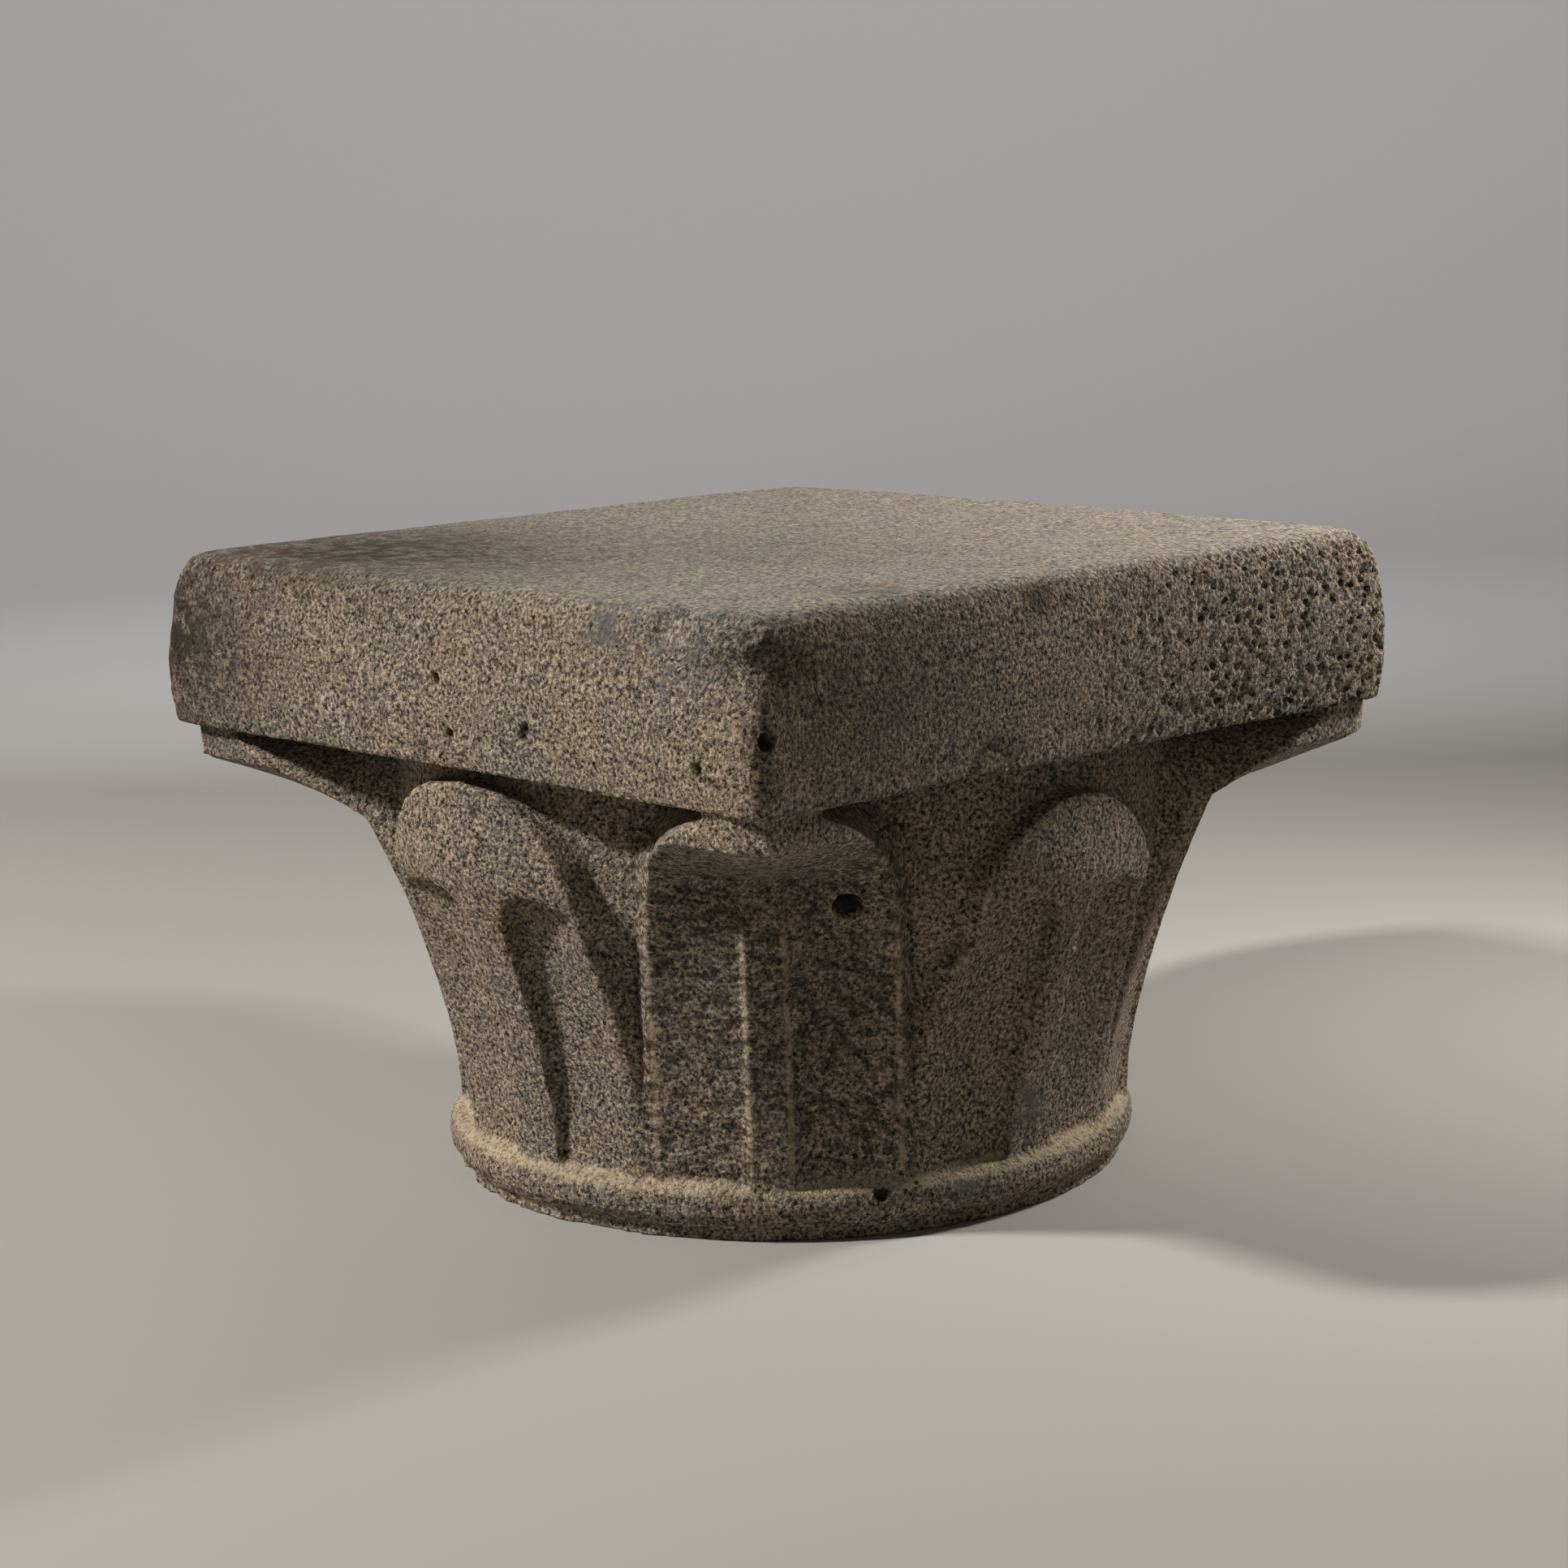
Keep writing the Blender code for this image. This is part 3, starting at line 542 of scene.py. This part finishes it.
# Each stain has spots: the middle, the reach along X, Y and Z, in metres, and the strength
stains = {
    "rust": [
        ((-0.200, -0.235, 0.401), (0.060, 0.030, 0.020), 0.9),
        ((-0.190, -0.279, 0.385), (0.018, 0.020, 0.012), 0.6),
        ((-0.100, -0.220, 0.401), (0.050, 0.012, 0.020), 0.5),
    ],
    "slate": [
        ((0.150, -0.276, 0.387), (0.030, 0.020, 0.018), 0.9),
        ((0.215, -0.275, 0.380), (0.035, 0.020, 0.025), 0.7),
        ((0.220, -0.005, 0.067), (0.010, 0.012, 0.016), 1.0),
        ((0.216, -0.057, 0.030), (0.010, 0.016, 0.010), 1.0),
        ((0.218, -0.024, 0.034), (0.010, 0.010, 0.008), 0.8),
    ],
    # black: real dark stains, and painted shade in the spots marked below
    "sootAndShade": [
        # the left end of the abacus: partly dark patina, partly painted shade where it turns from the light
        ((-0.2850, -0.2800, 0.3500), (0.115, 0.060, 0.085), 1.00),
        # painted shade on the top's left and middle
        ((-0.1700, -0.2000, 0.4000), (0.180, 0.140, 0.020), 0.95),
        ((0.0100, -0.0600, 0.4010), (0.150, 0.110, 0.020), 0.30),
        # painted shadow under the lip, on the front corner's leaf
        ((0.1850, -0.1450, 0.1500), (0.045, 0.045, 0.090), 0.40),
        ((0.1750, -0.1750, 0.2250), (0.075, 0.075, 0.040), 0.50),
        # painted shade in the notch at the front top corner
        ((0.2560, -0.2560, 0.3800), (0.014, 0.014, 0.014), 0.80),
        # a dark stain in the old groove on the right face
        ((0.2790, -0.0935, 0.3020), (0.010, 0.015, 0.014), 0.45),
        # painted shade on the right face near the front corner
        ((0.2800, -0.2000, 0.3500), (0.020, 0.105, 0.060), 0.68),
        # a dark stain at the top edge of the right face
        ((0.2749, -0.0476, 0.3880), (0.010, 0.018, 0.010), 0.90),
        # painted shade in the notch at the front top corner
        ((0.2620, -0.2620, 0.3850), (0.025, 0.025, 0.018), 0.60),
        # a dark stain on the top near the front corner
        ((0.2400, -0.1500, 0.3980), (0.050, 0.030, 0.010), 0.35),
    ],
    "chalk": [
        ((-0.1067, -0.2821, 0.3190), (0.006, 0.010, 0.006), 1.0),
        ((-0.0941, -0.2810, 0.3075), (0.004, 0.010, 0.005), 0.8),
    ],
}

# Each pair is where the dust or the painted shade begins and where it is full
dust = {
    "carvedBelow": (-0.285, -0.275),                    # m, downwards: the abacus's lower edge
    "bandFrom": (0.027, 0.032), "bandTo": (0.036, 0.043),   # m: the shelf of the ring
    "bandUpward": (0.1, 0.7), "bandOutside": 0.19,
    "sunk": (0.0014, 0.0048),                           # m that a groove is sunk
    "grooveUpward": (-0.05, 0.30), "grooveShare": 0.55,
    "paintedShadeUpward": (-0.15, 0.15), "paintedShadeShare": 0.65,   # painted shade goes on the sunk parts that look down
    "raised": (0.00028, 0.00080), "raisedAbove": 0.03,  # m that an edge stands out
    "most": 0.85,
}
frontLeaf = {
    "outward": (0.16, 0.18), "halfWidth": 0.082, "low": 0.042, "high": 0.258,
    "rightPanel": (0.004, 0.012),                       # m across the corner, where the right panel begins
}

normals = readNormals(mesh)
fine = smoothed(mesh, points, maps["finePasses"])
wide = smoothed(mesh, fine, maps["widePasses"])
sunk = np.einsum("ij,ij->i", wide - points, normals)
radius = np.hypot(points[:, 0], points[:, 1])
across = (points[:, 0] + points[:, 1]) * math.sqrt(0.5)
outward = (points[:, 0] - points[:, 1]) * math.sqrt(0.5)
carved = soften(-points[:, 2], *dust["carvedBelow"])
band = soften(points[:, 2], *dust["bandFrom"]) * (1 - soften(points[:, 2], *dust["bandTo"]))
band *= soften(normals[:, 2], *dust["bandUpward"]) * (radius > dust["bandOutside"])
groove = soften(sunk, *dust["sunk"]) * carved
# painted shade: sunk grooves that look down are darkened as if shade fell in them
paintedShade = groove * (1 - soften(normals[:, 2], *dust["paintedShadeUpward"])) * dust["paintedShadeShare"]
groove *= soften(normals[:, 2], *dust["grooveUpward"]) * dust["grooveShare"]
writeMap(mesh, "dustLies", np.clip(np.maximum(band, groove), 0, 1) * dust["most"])
# raised edges get beige colour: partly dust, partly a painted highlight
raised = -np.einsum("ij,ij->i", fine - points, normals)
writeMap(mesh, "edges", soften(raised, *dust["raised"]) * carved * (points[:, 2] > dust["raisedAbove"]))
strip = soften(outward, *frontLeaf["outward"]) * (np.abs(across) < frontLeaf["halfWidth"])
strip *= (points[:, 2] > frontLeaf["low"]) * (points[:, 2] < frontLeaf["high"])
onRight = soften(across, *frontLeaf["rightPanel"])
writeMap(mesh, "rows", strip * (1 - onRight))
writeMap(mesh, "slants", strip * onRight)
for stain, spots in stains.items():
    # the black map starts from the painted shade of sunk grooves that look down
    shade = paintedShade.copy() if stain == "sootAndShade" else np.zeros(len(points))
    for place, reach, strength in spots:
        shade = np.maximum(shade, strength * near(points, place, reach))
    writeMap(mesh, stain, shade)
print("dust and stains mapped")

thin = capital.modifiers.new("thin", "DECIMATE")
mesh.calc_loop_triangles()
thin.ratio = min(1.0, block["trianglesKept"] / len(mesh.loop_triangles))
settle(capital)
mesh = capital.data
points = np.clip(readPoints(mesh), np.array(cadLow), np.array(cadHigh))
writePoints(mesh, points)
mesh.shade_smooth()
mesh.calc_loop_triangles()
print("capital:", len(mesh.loop_triangles), "triangles")

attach(capital, "root")
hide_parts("capital")


# The studio: pale floor that sweeps up all round, soft lights and the photograph's camera

studio = {
    "floorReach": 3.4, "sweepRadius": 1.6, "sweepHeight": 2.6, "sweepStep": 6, "turns": 96,
    "floorColour": "#a3a19e", "floorRoughness": 0.9, "weld": 1e-5, "lightAim": 0.2,
    "eye": (1.6079, -1.4991, 0.6402), "target": (0.0008, 0.0008, 0.2397), "lens": 78.95, "roll": -1.471,
    "skyStrength": 0.05, "skyColour": "#f2f2f0",
}

# Each light has its azimuth and elevation seen from the capital, its distance, its width and its power in
# watts. One with a turn is tilted by it, away from the stone, so that it lights the wall only
lights = [
    {"name": "leftLight", "azimuth": -119, "elevation": 38, "distance": 3.6, "width": 0.26, "power": 160,
     "colour": "#fffaf2"},
    {"name": "rightLight", "azimuth": 62, "elevation": 34, "distance": 1.2, "width": 0.16, "power": 13,
     "colour": "#fffaf2"},
    {"name": "wallLight", "azimuth": 137, "elevation": 62, "distance": 2.4, "width": 2.4, "power": 125,
     "colour": "#f6f7ff", "turn": -124},
]


def sweepFloor():
    # a disc that curves up to a wall all round, turned from one profile
    reach, bend = studio["floorReach"], studio["sweepRadius"]
    profile = [(0.0, 0.0), (reach * 0.5, 0.0), (reach, 0.0)]
    for angle in np.radians(np.arange(studio["sweepStep"], 91, studio["sweepStep"])):
        profile.append((reach + bend * math.sin(angle), bend * (1 - math.cos(angle))))
    profile.append((reach + bend, bend + studio["sweepHeight"]))
    work = bmesh.new()
    verts = [work.verts.new((radius, 0, height)) for radius, height in profile]
    edges = [work.edges.new(pair) for pair in zip(verts, verts[1:])]
    bmesh.ops.spin(work, geom=verts + edges, cent=(0, 0, 0), axis=(0, 0, 1), angle=math.tau,
                   steps=studio["turns"], use_merge=True)
    bmesh.ops.remove_doubles(work, verts=work.verts, dist=studio["weld"])
    bmesh.ops.recalc_face_normals(work, faces=work.faces)
    floorMesh = bpy.data.meshes.new("studioFloor")
    work.to_mesh(floorMesh)
    work.free()
    floorMesh.shade_smooth()
    return addObject("studioFloor", floorMesh)


def palePaper():
    # seamless background paper: matt and even
    material = bpy.data.materials.new("palePaper")
    material.use_nodes = True
    shader = material.node_tree.nodes["Principled BSDF"]
    shader.inputs["Base Color"].default_value = linear(studio["floorColour"])
    shader.inputs["Roughness"].default_value = studio["floorRoughness"]
    return material


floor = sweepFloor()
floor.data.materials.append(palePaper())

world = bpy.data.worlds.new("studioSky")
scene.world = world
world.use_nodes = True
background = world.node_tree.nodes["Background"]
background.inputs["Color"].default_value = linear(studio["skyColour"])
background.inputs["Strength"].default_value = studio["skyStrength"]

scene.view_settings.view_transform = "Standard"

for setting in lights:
    lamp = bpy.data.lights.new(setting["name"], "AREA")
    lamp.size = setting["width"]
    lamp.energy = setting["power"]
    lamp.color = linear(setting["colour"])[:3]
    azimuth, elevation = math.radians(setting["azimuth"]), math.radians(setting["elevation"])
    level = math.cos(elevation)
    way = Vector((math.cos(azimuth) * level, math.sin(azimuth) * level, math.sin(elevation)))
    side = Vector((-math.sin(azimuth), math.cos(azimuth), 0))
    tilt = Matrix.Rotation(math.radians(setting.get("turn", 0)), 3, side)
    holder = addObject(setting["name"], lamp)
    holder.location = Vector((0, 0, studio["lightAim"])) + way * setting["distance"]
    holder.rotation_euler = (tilt @ way.to_track_quat("Z", "Y").to_matrix()).to_euler()


def lookFrom(eye, target, roll):
    back = (Vector(eye) - Vector(target)).normalized()
    right = Vector((0, 0, 1)).cross(back).normalized()
    turn = Matrix((right, back.cross(right), back)).transposed().to_4x4()
    return Matrix.Translation(eye) @ turn @ Matrix.Rotation(math.radians(roll), 4, "Z")


cameraData = bpy.data.cameras.new("photoCamera")
cameraData.lens = studio["lens"]
cameraData.sensor_width = 36.0
camera = addObject("photoCamera", cameraData)
camera.matrix_world = lookFrom(studio["eye"], studio["target"], studio["roll"])
scene.camera = camera
